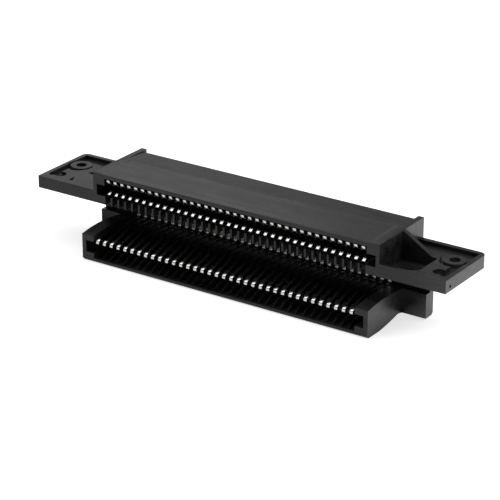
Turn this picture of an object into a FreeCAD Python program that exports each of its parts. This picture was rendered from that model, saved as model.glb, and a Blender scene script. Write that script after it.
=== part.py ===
import FreeCAD, Part
import math
import os

os.makedirs("parts", exist_ok=True)

# Double card-edge connector: a moulded housing with two slots that face -Y, one above the other.
# X runs along the slots, Z is up, and the origin is under the middle of the housing, on its base.
# Depths that end in _depth are measured back from the front face of the upper block.

# Contact grid
positions = 36
pitch = 2.5
contact_width = 1.0
contact_thickness = 0.35
contact_clearance = 0.05
comb_length = positions * pitch

# Overall sizes of the housing
overall_length = 139.7
lower_step = 5.75
cheek_depth = 23.95
overall_depth = lower_step + cheek_depth
upper_front = lower_step - overall_depth / 2
lower_front = -overall_depth / 2

# Upper block with its roof
ear_bottom = 16.5
upper_height = 9.5
upper_length = 98.1
roof_depth = 22.4
roof_drop = 0.4
lip_thickness = 1.4
lip_setback = 1.5
cheek_thickness = 1.8
panel_sink = 0.15
panel_slope = 0.9
panel_border = 2.8
panel_depth = 14.6
upper_top = ear_bottom + upper_height
passage_top = upper_top - lip_thickness

# Back wall with its thick lower sill
bar_length = 113.2
bar_bottom = 0.8
sill_depth = 13.2
wall_depth = 15.3
wall_back_depth = 17.2
sill_top = 8.15
bar_chamfer = 0.7
passage_height = 1.2

# Rear comb that separates the contact legs
leg_rib_height = 3.5
comb_chamfer = 1.2
comb_back_depth = wall_back_depth + leg_rib_height

# Card slots
rib_thickness = 0.6
channel_width = pitch - rib_thickness
slot_length = 95.7
slot_depth = 11.5
upper_slot_floor = ear_bottom + 2.55
upper_slot_height = 3.4
lower_slot_floor = 2.9
lower_slot_height = 3.65
upper_slot_top = upper_slot_floor + upper_slot_height
lower_slot_top = lower_slot_floor + lower_slot_height

# Lower block
lower_length = 98.5
lower_front_height = 8.35
lower_crown = 0.85
base_length = 6.35
arch_rise = 1.45
arch_depth = 10.2
arch_bulge = 0.17
front_strip_height = 1.3
front_strip_thickness = 0.8
front_strip_chamfer = 0.7
ramp_length = 2.8
floor_thickness = 0.95
window_height = 1.1
sill_groove = 0.4

# Ears with their pockets, bosses and holes
ear_thickness = 3.8
ear_depth = 23.0
ear_corner_radius = 2.0
rim_thickness = 1.5
pocket_sink = 1.2
boss_spacing = 129.2
boss_depth = 14.2
boss_radius = 3.3
boss_groove = 0.8
boss_hole_radius = 1.6
peg_hole_spacing = 130.2
peg_hole_depth = 4.7
peg_hole_radius = 1.8
trough_end_depth = 2.5
core_front_wall = 0.9
core_floor = 0.8
core_width = 11.2
core_corner_radius = 3.2
gusset_reach = 11.3
gusset_thickness = 1.4
gusset_depth = 12.4
sink_depth = 1.0
gate_radius = 0.5
gate_pit = 0.4
gate_depth = 2.5
gate_height = 1.45
ear_top = ear_bottom + ear_thickness
pocket_floor = ear_top - pocket_sink

# Contact forms: (depth, height) of the strip's middle line at each bend
upper_arm_height = passage_top - contact_clearance - contact_thickness / 2
leg_line = wall_back_depth + contact_clearance + contact_thickness / 2
spine_line = wall_depth - contact_clearance - contact_thickness / 2
lower_arm_height = arch_rise + floor_thickness + contact_clearance + contact_thickness / 2
groove_floor = sill_top - sill_groove
inner_arm_height = groove_floor + contact_clearance + contact_thickness / 2
spine_top = upper_slot_floor - 0.65
elbow = 0.5

half_length = overall_length / 2
half_upper = upper_length / 2
half_lower = lower_length / 2
half_slot = slot_length / 2
cut_margin = 1.0


def back(depth):
    """Y of a plane that lies this far behind the front face of the upper block."""
    return upper_front + depth


def prism(steps, lift, direction):
    """Closed outline swept along a direction. A step of two numbers is the end of a line.

    A step of four numbers is an arc: a point that it passes through, and its end.
    """
    edges = []
    here = lift(*steps[0])
    for step in list(steps[1:]) + [steps[0]]:
        end = lift(*step[-2:])
        if len(step) == 4:
            edges.append(Part.Arc(here, lift(*step[:2]), end).toShape())
        else:
            edges.append(Part.LineSegment(here, end).toShape())
        here = end
    return Part.Face(Part.Wire(edges)).extrude(direction)


def prism_x(steps, x_low, x_high):
    """Side outline of (y, z) points, swept along X."""
    return prism(steps, lambda y, z: FreeCAD.Vector(x_low, y, z), FreeCAD.Vector(x_high - x_low, 0, 0))


def prism_y(steps, y_low, y_high):
    """Front outline of (x, z) points, swept along Y."""
    return prism(steps, lambda x, z: FreeCAD.Vector(x, y_low, z), FreeCAD.Vector(0, y_high - y_low, 0))


def prism_z(steps, z_low, z_high):
    """Plan outline of (x, y) points, swept along Z."""
    return prism(steps, lambda x, y: FreeCAD.Vector(x, y, z_low), FreeCAD.Vector(0, 0, z_high - z_low))


def box(x_low, x_high, y_low, y_high, z_low, z_high):
    corner = FreeCAD.Vector(x_low, y_low, z_low)
    return Part.makeBox(x_high - x_low, y_high - y_low, z_high - z_low, corner)


def upright_cylinder(radius, x, y, z_low, z_high):
    return Part.makeCylinder(radius, z_high - z_low, FreeCAD.Vector(x, y, z_low))


def mirrored(shape):
    return shape.mirror(FreeCAD.Vector(0, 0, 0), FreeCAD.Vector(1, 0, 0))


def position_x(index):
    return (index - (positions - 1) / 2) * pitch


def at_positions(make, width):
    """One cutter for each contact position, as a compound. make gives it between two X planes."""
    cutters = []
    for index in range(positions):
        middle = position_x(index)
        cutters.append(make(middle - width / 2, middle + width / 2))
    return Part.makeCompound(cutters)


def roof():
    """Upper block and its roof, which slopes down a little behind the sunk front panel."""
    outline = [
        (back(0), ear_bottom),
        (back(0), upper_top),
        (back(panel_depth), upper_top),
        (back(roof_depth), upper_top - roof_drop),
        (back(roof_depth), passage_top),
        (back(wall_back_depth), passage_top),
        (back(wall_back_depth), ear_bottom),
    ]
    block = prism_x(outline, -half_upper, half_upper)
    border = half_upper - panel_border
    panel = [
        (-border + panel_slope, upper_top - panel_sink),
        (border - panel_slope, upper_top - panel_sink),
        (border, upper_top),
        (-border, upper_top),
    ]
    return block.cut(prism_y(panel, back(-cut_margin), back(panel_depth)))


def cheek():
    """End plate of the upper block, which runs on behind the roof and down to guard the legs."""
    outline = [
        (back(panel_depth), ear_bottom),
        (back(panel_depth), upper_top),
        (back(cheek_depth), upper_top),
        (back(cheek_depth), ear_bottom),
        (back(comb_back_depth + comb_chamfer), ear_bottom / 2, back(comb_back_depth - comb_chamfer), bar_bottom),
        (back(wall_depth), bar_bottom),
        (back(wall_depth), ear_bottom),
    ]
    return prism_x(outline, half_upper - cheek_thickness, half_upper)


def back_wall():
    """Wall that joins both blocks, with the thick sill along its foot. It is longer than they are."""
    outline = [
        (back(sill_depth), bar_bottom),
        (back(sill_depth), sill_top),
        (back(wall_depth), sill_top),
        (back(wall_depth), ear_bottom),
        (back(wall_back_depth), ear_bottom),
        (back(wall_back_depth), bar_bottom + bar_chamfer),
        (back(wall_back_depth - bar_chamfer), bar_bottom),
    ]
    return prism_x(outline, -bar_length / 2, bar_length / 2)


def rear_comb():
    """Block behind the wall, up to the roof, which the leg channels cut into ribs."""
    outline = [
        (back(wall_back_depth - bar_chamfer), bar_bottom),
        (back(comb_back_depth - comb_chamfer), bar_bottom),
        (back(comb_back_depth), bar_bottom + comb_chamfer),
        (back(comb_back_depth), passage_top),
        (back(wall_back_depth), passage_top),
        (back(wall_back_depth), bar_bottom + bar_chamfer),
    ]
    half = half_upper - cheek_thickness
    return prism_x(outline, -half, half)


def base_steps():
    """Underside of the lower block: flat in front, then arched up to the sill."""
    middle = (base_length - lower_step + arch_depth) / 2
    return [
        (back(sill_depth), bar_bottom),
        (back((sill_depth + arch_depth) / 2), (bar_bottom + arch_rise) / 2 + arch_bulge, back(arch_depth), arch_rise),
        (back(middle), arch_rise / 2 - arch_bulge, lower_front + base_length, 0),
        (lower_front + front_strip_chamfer, 0),
        (lower_front, front_strip_chamfer),
    ]


def lower_end():
    """End of the lower block: an end wall with a crowned top, and the rail beside the slot."""
    crown_depth = (sill_depth - lower_step) / 2
    crown = (lower_front_height + sill_top) / 2 + lower_crown
    top = [(lower_front, lower_front_height), (back(crown_depth), crown, back(sill_depth), sill_top)]
    end = prism_x(base_steps() + top, comb_length / 2, half_lower)
    slot = box(0, half_slot, lower_front - cut_margin, back(slot_depth), lower_slot_floor, lower_slot_top)
    return end.cut(slot)


def lower_floor():
    """Floor of the lower block. Its ribs ramp up from the front strip to the slot's floor."""
    strip_rear = lower_front + front_strip_thickness
    top = [
        (lower_front, front_strip_height),
        (strip_rear, front_strip_height),
        (strip_rear + ramp_length, lower_slot_floor),
        (back(sill_depth), lower_slot_floor),
    ]
    floor = prism_x(base_steps() + top, -comb_length / 2, comb_length / 2)
    arch_floor = arch_rise + floor_thickness
    channel = [
        (strip_rear, lower_slot_top),
        (strip_rear, floor_thickness),
        (lower_front + base_length, floor_thickness),
        (back(arch_depth), arch_floor),
        (back(wall_back_depth - cut_margin), arch_floor),
        (back(wall_back_depth - cut_margin), lower_slot_top),
    ]
    return floor.cut(at_positions(lambda low, high: prism_x(channel, low, high), channel_width))


def sunk_pocket():
    """Shallow pocket of the right ear, inside its rear and outer rims, round the screw boss."""
    boss_x = boss_spacing / 2
    outer = half_length - rim_thickness
    trough = peg_hole_spacing / 2 + peg_hole_radius / 2
    trough_middle = (outer + trough) / 2
    trough_round = (outer - trough) / 2
    ring = boss_radius + boss_groove
    rear = back(ear_depth - rim_thickness)
    foot = back(gusset_depth + gusset_thickness)
    outline = [
        (half_upper, rear),
        (outer, rear),
        (outer, back(trough_end_depth) + trough_round),
        (trough_middle, back(trough_end_depth), trough, back(trough_end_depth) + trough_round),
        (trough, back(boss_depth)),
        (boss_x - ring, back(boss_depth)),
        (half_upper + gusset_reach, foot),
        (half_upper, foot),
    ]
    pocket = prism_z(outline, pocket_floor, ear_top + cut_margin)
    pocket = pocket.fuse(upright_cylinder(ring, boss_x, back(boss_depth), pocket_floor, ear_top + cut_margin))
    boss = upright_cylinder(boss_radius, boss_x, back(boss_depth), pocket_floor - cut_margin, ear_top + cut_margin)
    return pocket.cut(boss)


def deep_pocket():
    """Cored-out pocket of the right ear, in front of the gusset, with a rounded outer corner."""
    front = back(core_front_wall)
    rear = back(gusset_depth)
    outer = half_upper + core_width
    turn = core_corner_radius * (1 - math.sqrt(0.5))
    outline = [
        (half_upper, rear),
        (half_upper, front),
        (outer - core_corner_radius, front),
        (outer - turn, front + turn, outer, front + core_corner_radius),
        (outer, rear),
    ]
    return prism_z(outline, ear_bottom + core_floor, ear_top + cut_margin)


def ear_blank():
    """Right ear with its holes, its rounded rear corner and its shallow pocket."""
    outer_rear = (half_length, back(ear_depth - ear_corner_radius))
    turn = ear_corner_radius * (1 - math.sqrt(0.5))
    outline = [
        (half_upper, back(0)),
        (half_length, back(0)),
        outer_rear,
        (half_length - turn, back(ear_depth) - turn, half_length - ear_corner_radius, back(ear_depth)),
        (half_upper, back(ear_depth)),
    ]
    ear = prism_z(outline, ear_bottom, ear_top)
    cuts = [
        sunk_pocket(),
        upright_cylinder(boss_hole_radius, boss_spacing / 2, back(boss_depth), 0, upper_top),
        upright_cylinder(peg_hole_radius, peg_hole_spacing / 2, back(peg_hole_depth), 0, upper_top),
    ]
    return ear.cut(cuts)


def gusset():
    """Thin triangular web from the top of the right cheek down to the floor of the ear's pocket."""
    outline = [
        (half_upper, ear_bottom + core_floor),
        (half_upper, upper_top),
        (half_upper + gusset_reach, ear_top - pocket_sink),
        (half_upper + gusset_reach, ear_bottom + core_floor),
    ]
    return prism_y(outline, back(gusset_depth), back(gusset_depth + gusset_thickness))


def right_ear():
    """The right ear has the deep pocket, and the pit of the moulding gate on its end face."""
    gate_place = FreeCAD.Vector(half_length - gate_pit, back(gate_depth), ear_bottom + gate_height)
    gate = Part.makeCylinder(gate_radius, gate_pit + cut_margin, gate_place, FreeCAD.Vector(1, 0, 0))
    return ear_blank().cut([deep_pocket(), gate]).fuse(gusset())


def left_ear():
    """The left ear is solid in front of its gusset, apart from two small triangular sinks."""
    ear = mirrored(ear_blank().fuse(gusset()))
    outer = half_upper + core_width
    near_corner = [
        (-outer, back(trough_end_depth)),
        (-outer, back(trough_end_depth + ramp_length)),
        (-outer + gusset_thickness, back(trough_end_depth)),
    ]
    near_gusset = [
        (-outer + gusset_thickness, back(gusset_depth - trough_end_depth)),
        (-outer + 2 * gusset_thickness, back(gusset_depth)),
        (-outer + 3 * gusset_thickness, back(gusset_depth - 2 * gusset_thickness)),
    ]
    sinks = [prism_z(outline, ear_top - sink_depth, ear_top + cut_margin) for outline in (near_corner, near_gusset)]
    return ear.cut(sinks)


def upper_slot_cuts():
    """The upper slot, the relief behind its lip, and the comb channels above and below it."""
    slot = box(-half_slot, half_slot, back(-cut_margin), back(slot_depth), upper_slot_floor, upper_slot_top)
    relief_half = comb_length / 2
    relief = box(-relief_half, relief_half, back(-cut_margin), back(lip_setback), upper_slot_floor, passage_top)
    above = [
        (back(0), upper_slot_floor),
        (back(0), passage_top),
        (back(wall_back_depth + cut_margin), passage_top),
        (back(wall_back_depth + cut_margin), passage_top - passage_height),
        (back(slot_depth), passage_top - passage_height),
        (back(slot_depth), upper_slot_floor),
    ]
    below = [
        (back(-cut_margin), ear_bottom - cut_margin),
        (back(-cut_margin), upper_slot_floor + cut_margin),
        (back(slot_depth), upper_slot_floor + cut_margin),
        (back(slot_depth), upper_slot_floor),
        (back(wall_depth), upper_slot_floor),
        (back(wall_depth), ear_bottom - cut_margin),
    ]
    combs = [
        at_positions(lambda low, high: prism_x(above, low, high), channel_width),
        at_positions(lambda low, high: prism_x(below, low, high), channel_width),
    ]
    return [slot, relief] + combs


def wall_cuts():
    """Leg channels behind the wall, the windows under it, and the grooves over the sill."""
    window_floor = arch_rise + floor_thickness
    leg = [
        (back(wall_back_depth), window_floor),
        (back(wall_back_depth), passage_top),
        (back(comb_back_depth + cut_margin), passage_top),
        (back(comb_back_depth + cut_margin), window_floor),
    ]
    window = [
        (back(sill_depth - cut_margin), window_floor),
        (back(sill_depth - cut_margin), window_floor + window_height),
        (back(wall_back_depth + cut_margin), window_floor + window_height),
        (back(wall_back_depth + cut_margin), window_floor),
    ]
    groove = [
        (back(sill_depth - cut_margin), groove_floor),
        (back(sill_depth - cut_margin), sill_top + cut_margin),
        (back(wall_depth), sill_top + cut_margin),
        (back(wall_depth), groove_floor),
    ]
    return [
        at_positions(lambda low, high: prism_x(leg, low, high), channel_width),
        at_positions(lambda low, high: prism_x(window, low, high), channel_width),
        at_positions(lambda low, high: prism_x(groove, low, high), channel_width),
    ]


def housing():
    """The moulded housing, one solid."""
    shell = roof().fuse([cheek(), mirrored(cheek()), back_wall(), rear_comb(), right_ear(), left_ear()])
    for cutter in upper_slot_cuts():
        shell = shell.cut(cutter)
    shell = shell.fuse([lower_end(), mirrored(lower_end()), lower_floor()])
    for cutter in wall_cuts():
        shell = shell.cut(cutter)
    return shell.removeSplitter()


def strip(line, middle):
    """Formed contact strip. line gives (depth, height) of its middle at each bend, mitred there."""
    points = [FreeCAD.Vector(0, back(depth), height) for depth, height in line]
    runs = [(end - start).normalize() for start, end in zip(points, points[1:])]
    left = []
    right = []
    for index, point in enumerate(points):
        before = runs[max(index - 1, 0)]
        after = runs[min(index, len(runs) - 1)]
        normal = FreeCAD.Vector(0, -(before + after).z, (before + after).y).normalize()
        side = FreeCAD.Vector(0, -after.z, after.y)
        offset = normal * (contact_thickness / 2 / normal.dot(side))
        left.append(point + offset)
        right.append(point - offset)
    outline = [(corner.y, corner.z) for corner in left + right[::-1]]
    return prism_x(outline, middle - contact_width / 2, middle + contact_width / 2)


def inner_line():
    """Inner contact: lower row of the upper slot, spine before the wall, upper row of the lower slot."""
    mouth = upper_slot_floor
    tip = lower_slot_top
    return [
        (0.5, mouth + 0.6),
        (1.3, mouth + 1.25),
        (2.7, mouth + 1.3),
        (7.5, spine_top),
        (spine_line, spine_top),
        (spine_line, inner_arm_height + elbow),
        (spine_line - elbow, inner_arm_height),
        (8.7, inner_arm_height + 0.05),
        (-1.0, tip - 1.3),
        (-2.2, tip - 1.2),
        (-4.3, tip + 0.75),
        (-5.3, tip + 0.4),
        (-5.4, tip - 0.4),
    ]


def outer_line():
    """Outer contact: upper row of the upper slot, leg behind the wall, lower row of the lower slot."""
    mouth = upper_slot_top
    floor = lower_slot_floor
    return [
        (0.35, passage_top - 0.3),
        (0.55, passage_top - 1.1),
        (2.8, mouth - 0.65),
        (8.5, upper_arm_height),
        (leg_line, upper_arm_height),
        (leg_line, lower_arm_height),
        (9.5, lower_arm_height),
        (4.0, floor + 1.3),
        (1.2, floor - 0.2),
    ]


def contact_pair(index):
    """The two contacts of one position, as separate solids."""
    middle = position_x(index)
    return Part.makeCompound([strip(inner_line(), middle), strip(outer_line(), middle)])


housing().exportStep("parts/housing.step")
for number in range(positions):
    contact_pair(number).exportStep("parts/contact_pair_%02d.step" % (number + 1))
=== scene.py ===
import math

import bpy
from mathutils import Matrix, Vector


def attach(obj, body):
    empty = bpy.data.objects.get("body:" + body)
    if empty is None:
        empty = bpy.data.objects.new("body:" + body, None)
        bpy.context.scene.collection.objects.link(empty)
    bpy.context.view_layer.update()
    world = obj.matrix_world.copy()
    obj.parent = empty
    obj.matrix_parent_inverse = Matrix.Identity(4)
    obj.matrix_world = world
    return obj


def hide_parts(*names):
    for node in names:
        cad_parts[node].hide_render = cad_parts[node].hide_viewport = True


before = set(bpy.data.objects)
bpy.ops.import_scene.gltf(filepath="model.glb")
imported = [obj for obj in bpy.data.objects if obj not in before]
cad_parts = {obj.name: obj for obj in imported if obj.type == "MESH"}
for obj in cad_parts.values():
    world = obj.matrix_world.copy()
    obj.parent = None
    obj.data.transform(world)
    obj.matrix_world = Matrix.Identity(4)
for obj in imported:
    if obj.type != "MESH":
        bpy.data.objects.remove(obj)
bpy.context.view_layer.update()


# Camera: a long lens from the front right, a little above the connector, as the photograph was
# taken. The eye is where a fit to the contact tips and to the housing's corners put it.
CAMERA_EYE = Vector((0.3397, -0.5000, 0.2670))
CAMERA_AZIMUTH = math.radians(34.16)
CAMERA_ELEVATION = math.radians(23.07)
CAMERA_LENS = 164.3
CAMERA_SENSOR = 36.0
CAMERA_NEAR = 0.01

camera_data = bpy.data.cameras.new("camera")
camera_data.lens = CAMERA_LENS
camera_data.sensor_width = CAMERA_SENSOR
camera_data.clip_start = CAMERA_NEAR
camera = bpy.data.objects.new("camera", camera_data)
bpy.context.scene.collection.objects.link(camera)
tilt = Matrix.Rotation(math.pi / 2 - CAMERA_ELEVATION, 4, "X")
turn = Matrix.Rotation(CAMERA_AZIMUTH, 4, "Z")
camera.matrix_world = Matrix.Translation(CAMERA_EYE) @ (turn @ tilt)
bpy.context.scene.camera = camera
bpy.context.scene.view_settings.view_transform = "Standard"


# Housing: one moulding of black glass-filled thermoplastic, with both slots, their combs and the
# ears that two screws hold. Its skin is satin, with a fine grain from the mould and faint flow
# marks along its length, and the mould leaves its edges slightly rounded.
MM = 0.001
HOUSING_COLOUR = (0.005, 0.005, 0.0055, 1.0)
HOUSING_COLOUR_DUSTY = (0.028, 0.028, 0.0285, 1.0)
HOUSING_ROUGHNESS = 0.33
HOUSING_IOR = 1.5
NOISE_DETAIL = 3.0
NOISE_BREAKUP = 0.5
NOISE_MIDDLE = 0.5
BUMP_STRENGTH = 1.0
GRAIN_SIZE = 0.5 * MM
GRAIN_DUST = 0.15
GRAIN_GLOSS = 0.2
GRAIN_DEPTH = 0.012 * MM
FLOW_SIZE = 2.4 * MM
FLOW_STRETCH = 0.09
FLOW_DETAIL = 4.0
FLOW_BREAKUP = 0.6
FLOW_DUST = 0.3
FLOW_GLOSS = 0.35
FLOW_DEPTH = 0.022 * MM
STREAK_SIZE = 0.8 * MM
STREAK_DUST = 0.3
PATCH_SIZE = 14 * MM
PATCH_DUST = 0.25
DUST_STOPS = [(0.42, (0.0, 0.0, 0.0, 1.0)), (0.62, (1.0, 1.0, 1.0, 1.0))]


class Field:
    """One output of a node. Arithmetic on fields and numbers adds Math nodes to its material."""

    def __init__(self, tree, output=None):
        self.tree = tree
        self.output = output

    def add(self, kind, settings, sockets, output=0):
        """Adds a node of this kind: its settings first, then values or fields for its sockets."""
        made = self.tree.nodes.new("ShaderNode" + kind)
        for name, value in settings.items():
            if name == "stops":
                for stop, (position, colour) in zip(made.color_ramp.elements, value):
                    stop.position = position
                    stop.color = colour
            else:
                setattr(made, name, value)
        for name, value in sockets.items():
            if isinstance(value, Field):
                self.tree.links.new(value.output, made.inputs[name])
            else:
                made.inputs[name].default_value = value
        return Field(self.tree, None if output is None else made.outputs[output])

    def other(self, output):
        """Another output of the node that this one comes from."""
        return Field(self.tree, self.output.node.outputs[output])

    def maths(self, operation, first, second):
        return self.add("Math", {"operation": operation}, {0: first, 1: second})

    def larger(self, other):
        return self.maths("MAXIMUM", self, other)

    def __add__(self, other):
        return self.maths("ADD", self, other)

    def __radd__(self, other):
        return self.maths("ADD", other, self)

    def __sub__(self, other):
        return self.maths("SUBTRACT", self, other)

    def __rsub__(self, other):
        return self.maths("SUBTRACT", other, self)

    def __mul__(self, other):
        return self.maths("MULTIPLY", self, other)

    def __rmul__(self, other):
        return self.maths("MULTIPLY", other, self)


def empty_nodes(owner):
    """Clears the nodes of a material or the world. The field that it returns adds new ones."""
    owner.use_nodes = True
    owner.node_tree.nodes.clear()
    return Field(owner.node_tree)


def noise(nodes, place, size, detail=NOISE_DETAIL, breakup=NOISE_BREAKUP):
    """Noise with features of this size, in metres, from 0 to 1."""
    sockets = {"Vector": place, "Scale": 1 / size, "Detail": detail, "Roughness": breakup}
    return nodes.add("TexNoise", {}, sockets, "Fac")


def mixed_colour(nodes, share, bare, full):
    """The bare colour where the share is 0, the full one where it is 1."""
    # A Mix node has its colours at sockets 6 and 7, and their mixture at output 2.
    return nodes.add("Mix", {"data_type": "RGBA"}, {0: share, 6: bare, 7: full}, 2)


def bumps(nodes, height, depth, **below):
    """The normal of a skin whose height rises by this depth, in metres."""
    sockets = {"Strength": BUMP_STRENGTH, "Distance": depth, "Height": height, **below}
    return nodes.add("Bump", {}, sockets, "Normal")


housing_plastic = bpy.data.materials.new("housing_plastic")
nodes = empty_nodes(housing_plastic)
place = nodes.add("TexCoord", {}, {}, "Object")
along = nodes.add("Mapping", {}, {"Vector": place, "Scale": (FLOW_STRETCH, 1.0, 1.0)})
grain = noise(nodes, place, GRAIN_SIZE)
flow = noise(nodes, along, FLOW_SIZE, FLOW_DETAIL, FLOW_BREAKUP)
patches = noise(nodes, place, PATCH_SIZE)
streaks = noise(nodes, along, STREAK_SIZE, breakup=FLOW_BREAKUP)
tone = flow * FLOW_DUST + patches * PATCH_DUST + streaks * STREAK_DUST + grain * GRAIN_DUST
dust = nodes.add("ValToRGB", {"stops": DUST_STOPS}, {"Fac": tone}, "Color")
gloss = (flow - NOISE_MIDDLE) * FLOW_GLOSS
roughness = HOUSING_ROUGHNESS + gloss + (grain - NOISE_MIDDLE) * GRAIN_GLOSS
waves = bumps(nodes, flow, FLOW_DEPTH)
plastic = {
    "Base Color": mixed_colour(nodes, dust, HOUSING_COLOUR, HOUSING_COLOUR_DUSTY),
    "Roughness": roughness,
    "IOR": HOUSING_IOR,
    "Normal": bumps(nodes, grain, GRAIN_DEPTH, Normal=waves),
}
skin = nodes.add("BsdfPrincipled", {}, plastic)
nodes.add("OutputMaterial", {}, {"Surface": skin}, None)

WELD_DISTANCE = 0.002 * MM
FLAT_ANGLE = math.radians(0.5)
FLAT_GAP = 0.01 * MM
EDGE_SEGMENTS = 2
HOUSING_EDGE = 0.17 * MM
HOUSING_EDGE_ANGLE = math.radians(35)
PANEL_Z = 25.85 * MM
PANEL_REAR = 5.5 * MM
PANEL_SLOPE = 0.9 * MM
PANEL_TURN = math.radians(20)
BOSS_X = 64.6 * MM
BOSS_Y = 5.1 * MM
GROOVE_RADIUS = 4.1 * MM
GROOVE_WIDER = 0.9 * MM
GROOVE_GAP = 0.03 * MM
GROOVE_ABOVE = 18 * MM


def merged_copy(name, material):
    """Copy of a CAD node, with its loose triangles merged to whole faces."""
    bpy.ops.object.select_all(action="DESELECT")
    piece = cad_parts[name].copy()
    piece.data = piece.data.copy()
    piece.name = name + "_formed"
    piece.data.materials.clear()
    piece.data.materials.append(material)
    bpy.context.scene.collection.objects.link(piece)
    piece.select_set(True)
    bpy.context.view_layer.objects.active = piece
    bpy.ops.object.mode_set(mode="EDIT")
    bpy.ops.mesh.select_all(action="SELECT")
    bpy.ops.mesh.remove_doubles(threshold=WELD_DISTANCE)
    bpy.ops.mesh.dissolve_limited(angle_limit=FLAT_ANGLE)
    bpy.ops.object.mode_set(mode="OBJECT")
    bpy.ops.object.shade_smooth()
    return piece


def stand_for(piece, name):
    """Hangs the piece, in the CAD node's place, on the root body, and hides the CAD node."""
    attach(piece, "root")
    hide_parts(name)


def round_edges(piece, width, angle):
    """Rounds the edges that turn by more than this angle."""
    edge = piece.modifiers.new("edge", "BEVEL")
    edge.width = width
    edge.segments = EDGE_SEGMENTS
    edge.limit_method = "ANGLE"
    edge.angle_limit = angle
    normals = piece.modifiers.new("normals", "WEIGHTED_NORMAL")
    normals.keep_sharp = True


housing = merged_copy("housing", housing_plastic)
mesh = housing.data

# The step behind the sunk top panel becomes a slope, and its shallow bends stay crisp lines.
for vertex in mesh.vertices:
    if abs(vertex.co.z - PANEL_Z) < FLAT_GAP and vertex.co.y > PANEL_REAR - FLAT_GAP:
        vertex.co.y = vertex.co.y - PANEL_SLOPE
sides = {}
for face in mesh.polygons:
    for key in face.edge_keys:
        sides.setdefault(key, []).append(face.normal.copy())
for line in mesh.edges:
    on_top = min(mesh.vertices[index].co.z for index in line.vertices) > PANEL_Z - FLAT_GAP
    first, second = sides[line.key]
    line.use_edge_sharp = on_top and FLAT_ANGLE < first.angle(second) < PANEL_TURN

# The groove round each screw boss gets wider to the front.
for vertex in mesh.vertices:
    from_boss = Vector((abs(vertex.co.x) - BOSS_X, vertex.co.y - BOSS_Y))
    on_rim = abs(from_boss.length - GROOVE_RADIUS) < GROOVE_GAP
    if on_rim and from_boss.y < 0 and vertex.co.z > GROOVE_ABOVE:
        vertex.co.y = vertex.co.y + from_boss.y * GROOVE_WIDER / GROOVE_RADIUS

stand_for(housing, "housing")
round_edges(housing, HOUSING_EDGE, HOUSING_EDGE_ANGLE)


# Contacts: 36 pairs of springs, stamped from phosphor bronze strip, formed over tools that round
# each bend, and pushed into the housing's channels. The noses that meet the cards are plated
# bright, the rear elbows take the same colour as a painted highlight, and the rest of the strip
# is dull and painted darker than bare bronze, as painted shade for the arms in the housing's
# shadow.
# Painted shade: the strip's colour is darker than bare bronze, for the arms in the housing's
# shadow.
SHADED_STRIP_COLOUR = (0.10, 0.095, 0.09, 1.0)
STRIP_ROUGHNESS = 0.36
# The noses' plated colour, which the rear elbows also get as a painted highlight.
NOSE_AND_GLINT_COLOUR = (0.90, 0.89, 0.86, 1.0)
NOSE_ROUGHNESS = 0.22
NOSE_FADE = 0.5 * MM
LOWER_NOSE_Y = -13.0 * MM
UPPER_NOSE_Y = -7.5 * MM
UPPER_NOSE_Z = 17 * MM
ELBOW_GLINT_Y = 4.2 * MM
ELBOW_GLINT_Z = 12 * MM
CLOUD_SIZE = 2.5 * MM
CLOUD_GLOSS = 0.15
ROLL_MARK_SIZE = 1.2 * MM
ROLL_MARK_SQUEEZE = 8.0
ROLL_MARK_DEPTH = 0.003 * MM


def fade(nodes, value, none_at, full_at):
    """0 where the value is at none_at, 1 where it is at full_at, and even between them."""
    return nodes.add("MapRange", {}, {"Value": value, "From Min": none_at, "From Max": full_at})


contact_metal = bpy.data.materials.new("contact_metal")
nodes = empty_nodes(contact_metal)
place = nodes.add("TexCoord", {}, {}, "Object")
depth = nodes.add("SeparateXYZ", {}, {"Vector": place}, "Y")
height = depth.other("Z")
lower_nose = fade(nodes, depth, LOWER_NOSE_Y + NOSE_FADE, LOWER_NOSE_Y)
upper_nose = fade(nodes, depth, UPPER_NOSE_Y + NOSE_FADE, UPPER_NOSE_Y)
upper_nose = upper_nose * fade(nodes, height, UPPER_NOSE_Z - NOSE_FADE, UPPER_NOSE_Z)
# Painted highlight: the rear elbows, behind and below these marks, get the plated colour as a
# glint.
elbow_glint = fade(nodes, depth, ELBOW_GLINT_Y - NOSE_FADE, ELBOW_GLINT_Y)
elbow_glint = elbow_glint * fade(nodes, height, UPPER_NOSE_Z, ELBOW_GLINT_Z)
# The bright mask: the plated noses, and the painted highlight on the elbows.
plating_and_glint = lower_nose.larger(upper_nose).larger(elbow_glint)
cloud = noise(nodes, place, CLOUD_SIZE)
roughness = STRIP_ROUGHNESS + (NOSE_ROUGHNESS - STRIP_ROUGHNESS) * plating_and_glint
rolled = nodes.add("Mapping", {}, {"Vector": place, "Scale": (ROLL_MARK_SQUEEZE, 1.0, 1.0)})
metal = {
    "Base Color": mixed_colour(nodes, plating_and_glint, SHADED_STRIP_COLOUR, NOSE_AND_GLINT_COLOUR),
    "Metallic": 1.0,
    "Roughness": roughness + (cloud - NOISE_MIDDLE) * CLOUD_GLOSS,
    "Normal": bumps(nodes, noise(nodes, rolled, ROLL_MARK_SIZE), ROLL_MARK_DEPTH),
}
skin = nodes.add("BsdfPrincipled", {}, metal)
nodes.add("OutputMaterial", {}, {"Surface": skin}, None)

STRIP_WIDTH = 1.0 * MM
STRIP_END_AREA = 0.37 * MM * MM
STRIP_EDGE = 0.05 * MM
STRIP_EDGE_ANGLE = math.radians(60)
BEND_ROUND = 0.27 * MM
BEND_SEGMENTS = 3


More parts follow.
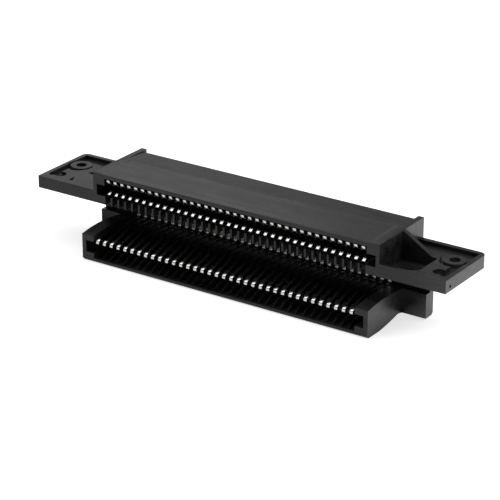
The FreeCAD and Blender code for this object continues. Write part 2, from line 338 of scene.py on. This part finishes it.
def round_bends(piece):
    """Rounds the lines across the strip, apart from those round its ends."""
    mesh = piece.data
    smallest = {}
    for face in mesh.polygons:
        for key in face.edge_keys:
            smallest[key] = min(face.area, smallest.get(key, math.inf))
    weights = mesh.attributes.new("bevel_weight_edge", "FLOAT", "EDGE")
    for line in mesh.edges:
        first, second = (mesh.vertices[index].co for index in line.vertices)
        across = abs(first.x - second.x) > STRIP_WIDTH / 2
        weights.data[line.index].value = float(across and smallest[line.key] > STRIP_END_AREA)
    bend = piece.modifiers.new("bend", "BEVEL")
    bend.width = BEND_ROUND
    bend.segments = BEND_SEGMENTS
    bend.limit_method = "WEIGHT"


for name in sorted(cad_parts):
    if name.startswith("contact_pair_"):
        pair = merged_copy(name, contact_metal)
        stand_for(pair, name)
        round_bends(pair)
        round_edges(pair, STRIP_EDGE, STRIP_EDGE_ANGLE)


# Floor: a plain white board under the connector. It looks white to the camera and takes the soft
# shadow. In reflections it shows a painted glow, bright to the right, faint in front and dark
# elsewhere, a painted reflection of light that no lamp gives.
FLOOR_SIZE = 6.0
FLOOR_DROP = 0.02 * MM
FLOOR_COLOUR = (0.8, 0.8, 0.8, 1.0)
FLOOR_SEEN = 0.72
FLOOR_PAINTED_GLOW = 0.92
RIGHT_FROM = 45 * MM
RIGHT_TO = 55 * MM
FRONT_FROM = -12 * MM
FRONT_TO = -14.5 * MM
FRONT_SHARE = 0.15


def seen_and_reflected(nodes, for_camera, for_reflections):
    """One value where the camera sees the surface, another where something mirrors it, else 0."""
    camera_ray = nodes.add("LightPath", {}, {}, "Is Camera Ray")
    mirrored = camera_ray.other("Is Glossy Ray") + camera_ray.other("Is Transmission Ray")
    return camera_ray * for_camera + mirrored * for_reflections


floor_board = bpy.data.materials.new("floor_board")
nodes = empty_nodes(floor_board)
across = nodes.add("SeparateXYZ", {}, {"Vector": nodes.add("TexCoord", {}, {}, "Object")}, "X")
# Painted reflection: the board glows for mirrored rays only to the right and faintly in front.
front = fade(nodes, across.other("Y"), FRONT_FROM, FRONT_TO) * FRONT_SHARE
mirrored = FLOOR_PAINTED_GLOW * front.larger(fade(nodes, across, RIGHT_FROM, RIGHT_TO))
glow = nodes.add("Emission", {}, {"Color": seen_and_reflected(nodes, FLOOR_SEEN, mirrored)})
board = nodes.add("BsdfDiffuse", {}, {"Color": FLOOR_COLOUR})
lit_board = nodes.add("AddShader", {}, {0: board, 1: glow})
nodes.add("OutputMaterial", {}, {"Surface": lit_board}, None)

bpy.ops.object.select_all(action="DESELECT")
bpy.ops.mesh.primitive_plane_add(size=FLOOR_SIZE, location=(0, 0, -FLOOR_DROP))
floor = bpy.context.object
floor.name = "floor"
floor.data.materials.append(floor_board)


# Light: a wide soft lamp overhead and smaller ones behind on both sides, in front of a grey
# backdrop. The connector's top mirrors the backdrop and the left lamp, so it fades to the right.
WORLD_LIGHT = 0.05
BACKDROP = 0.15
LAMPS = {
    "overhead": (Vector((-0.35, -0.12, 0.90)), 1.0, 4.5),
    "rear_right": (Vector((0.55, 0.22, 0.70)), 0.5, 4.5),
    "rear_left": (Vector((-0.62, 0.67, 0.54)), 0.4, 0.39),
}

for name, (lamp_place, size, power) in LAMPS.items():
    lamp_data = bpy.data.lights.new(name, "AREA")
    lamp_data.size = size
    lamp_data.energy = power
    lamp = bpy.data.objects.new(name, lamp_data)
    bpy.context.scene.collection.objects.link(lamp)
    lamp.location = lamp_place
    lamp.rotation_euler = lamp_place.to_track_quat("Z", "Y").to_euler()

world = bpy.data.worlds.new("world")
nodes = empty_nodes(world)
strength = WORLD_LIGHT + seen_and_reflected(nodes, 1 - WORLD_LIGHT, BACKDROP)
backdrop = nodes.add("Background", {}, {"Color": strength})
nodes.add("OutputWorld", {}, {"Surface": backdrop}, None)
bpy.context.scene.world = world
